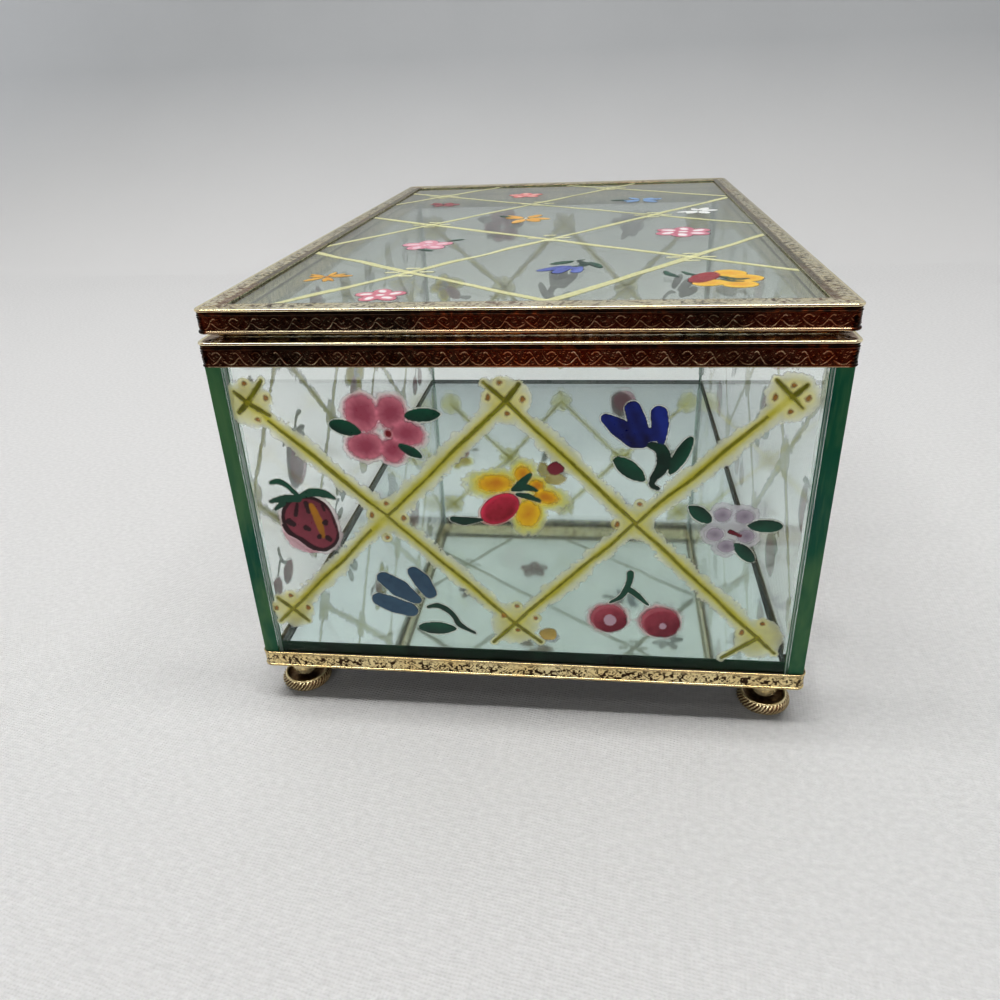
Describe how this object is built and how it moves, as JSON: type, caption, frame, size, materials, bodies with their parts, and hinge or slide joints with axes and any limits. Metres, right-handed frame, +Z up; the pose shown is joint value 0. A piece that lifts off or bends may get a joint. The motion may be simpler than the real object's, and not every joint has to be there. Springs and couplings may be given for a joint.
{
  "type": "glass casket box",
  "caption": "Hinged glass casket box for keepsakes: painted plate-glass walls and lid in embossed brass strip frames, mirror floor, roped button feet.",
  "frame": {"origin": "middle of the footprint, hinges included, on the surface the feet stand on", "axes": "+X to the box's right seen from the front, +Y to the hinged back, +Z up"},
  "size_m": [0.114, 0.1838, 0.0867],
  "materials": {
    "frame_brass": "stamped vine relief, antiqued lacquered gold tone, darker in the relief, worn bright on the beads",
    "foot_brass": "cast, antiqued, roped edge",
    "hinge_brass": "plain rolled brass, dulled",
    "pin_brass": "drawn wire",
    "painted_glass": "polished plate glass with green ground edges, painted on the outside",
    "mirror": "back-silvered glass with dark green edges",
    "card": "dull dark card",
    "adhesive": "clear cured adhesive"
  },
  "bodies": {
    "case": {"base_frame": "frame_brass", "rim_frame": "frame_brass", "front_pane": "painted_glass", "back_pane": "painted_glass", "left_pane": "painted_glass", "right_pane": "painted_glass", "mirror_floor": "mirror", "backing_card": "card", "corner_adhesive": "adhesive", "front_left_foot": "foot_brass", "front_right_foot": "foot_brass", "back_left_foot": "foot_brass", "back_right_foot": "foot_brass", "front_left_post": "foot_brass", "front_right_post": "foot_brass", "back_left_post": "foot_brass", "back_right_post": "foot_brass", "left_rim_hinge_leaf": "hinge_brass", "right_rim_hinge_leaf": "hinge_brass", "left_hinge_pin": "pin_brass", "right_hinge_pin": "pin_brass"},
    "lid": {"lid_frame": "frame_brass", "lid_pane": "painted_glass", "left_lid_hinge_leaf": "hinge_brass", "right_lid_hinge_leaf": "hinge_brass"}
  },
  "joints": [
    {"name": "lid_hinge", "type": "hinge", "parent": "case", "child": "lid", "pos_m": [0, 0.08979, 0.08155], "axis": [-1, 0, 0], "range_deg": [0, 100]}
  ]
}
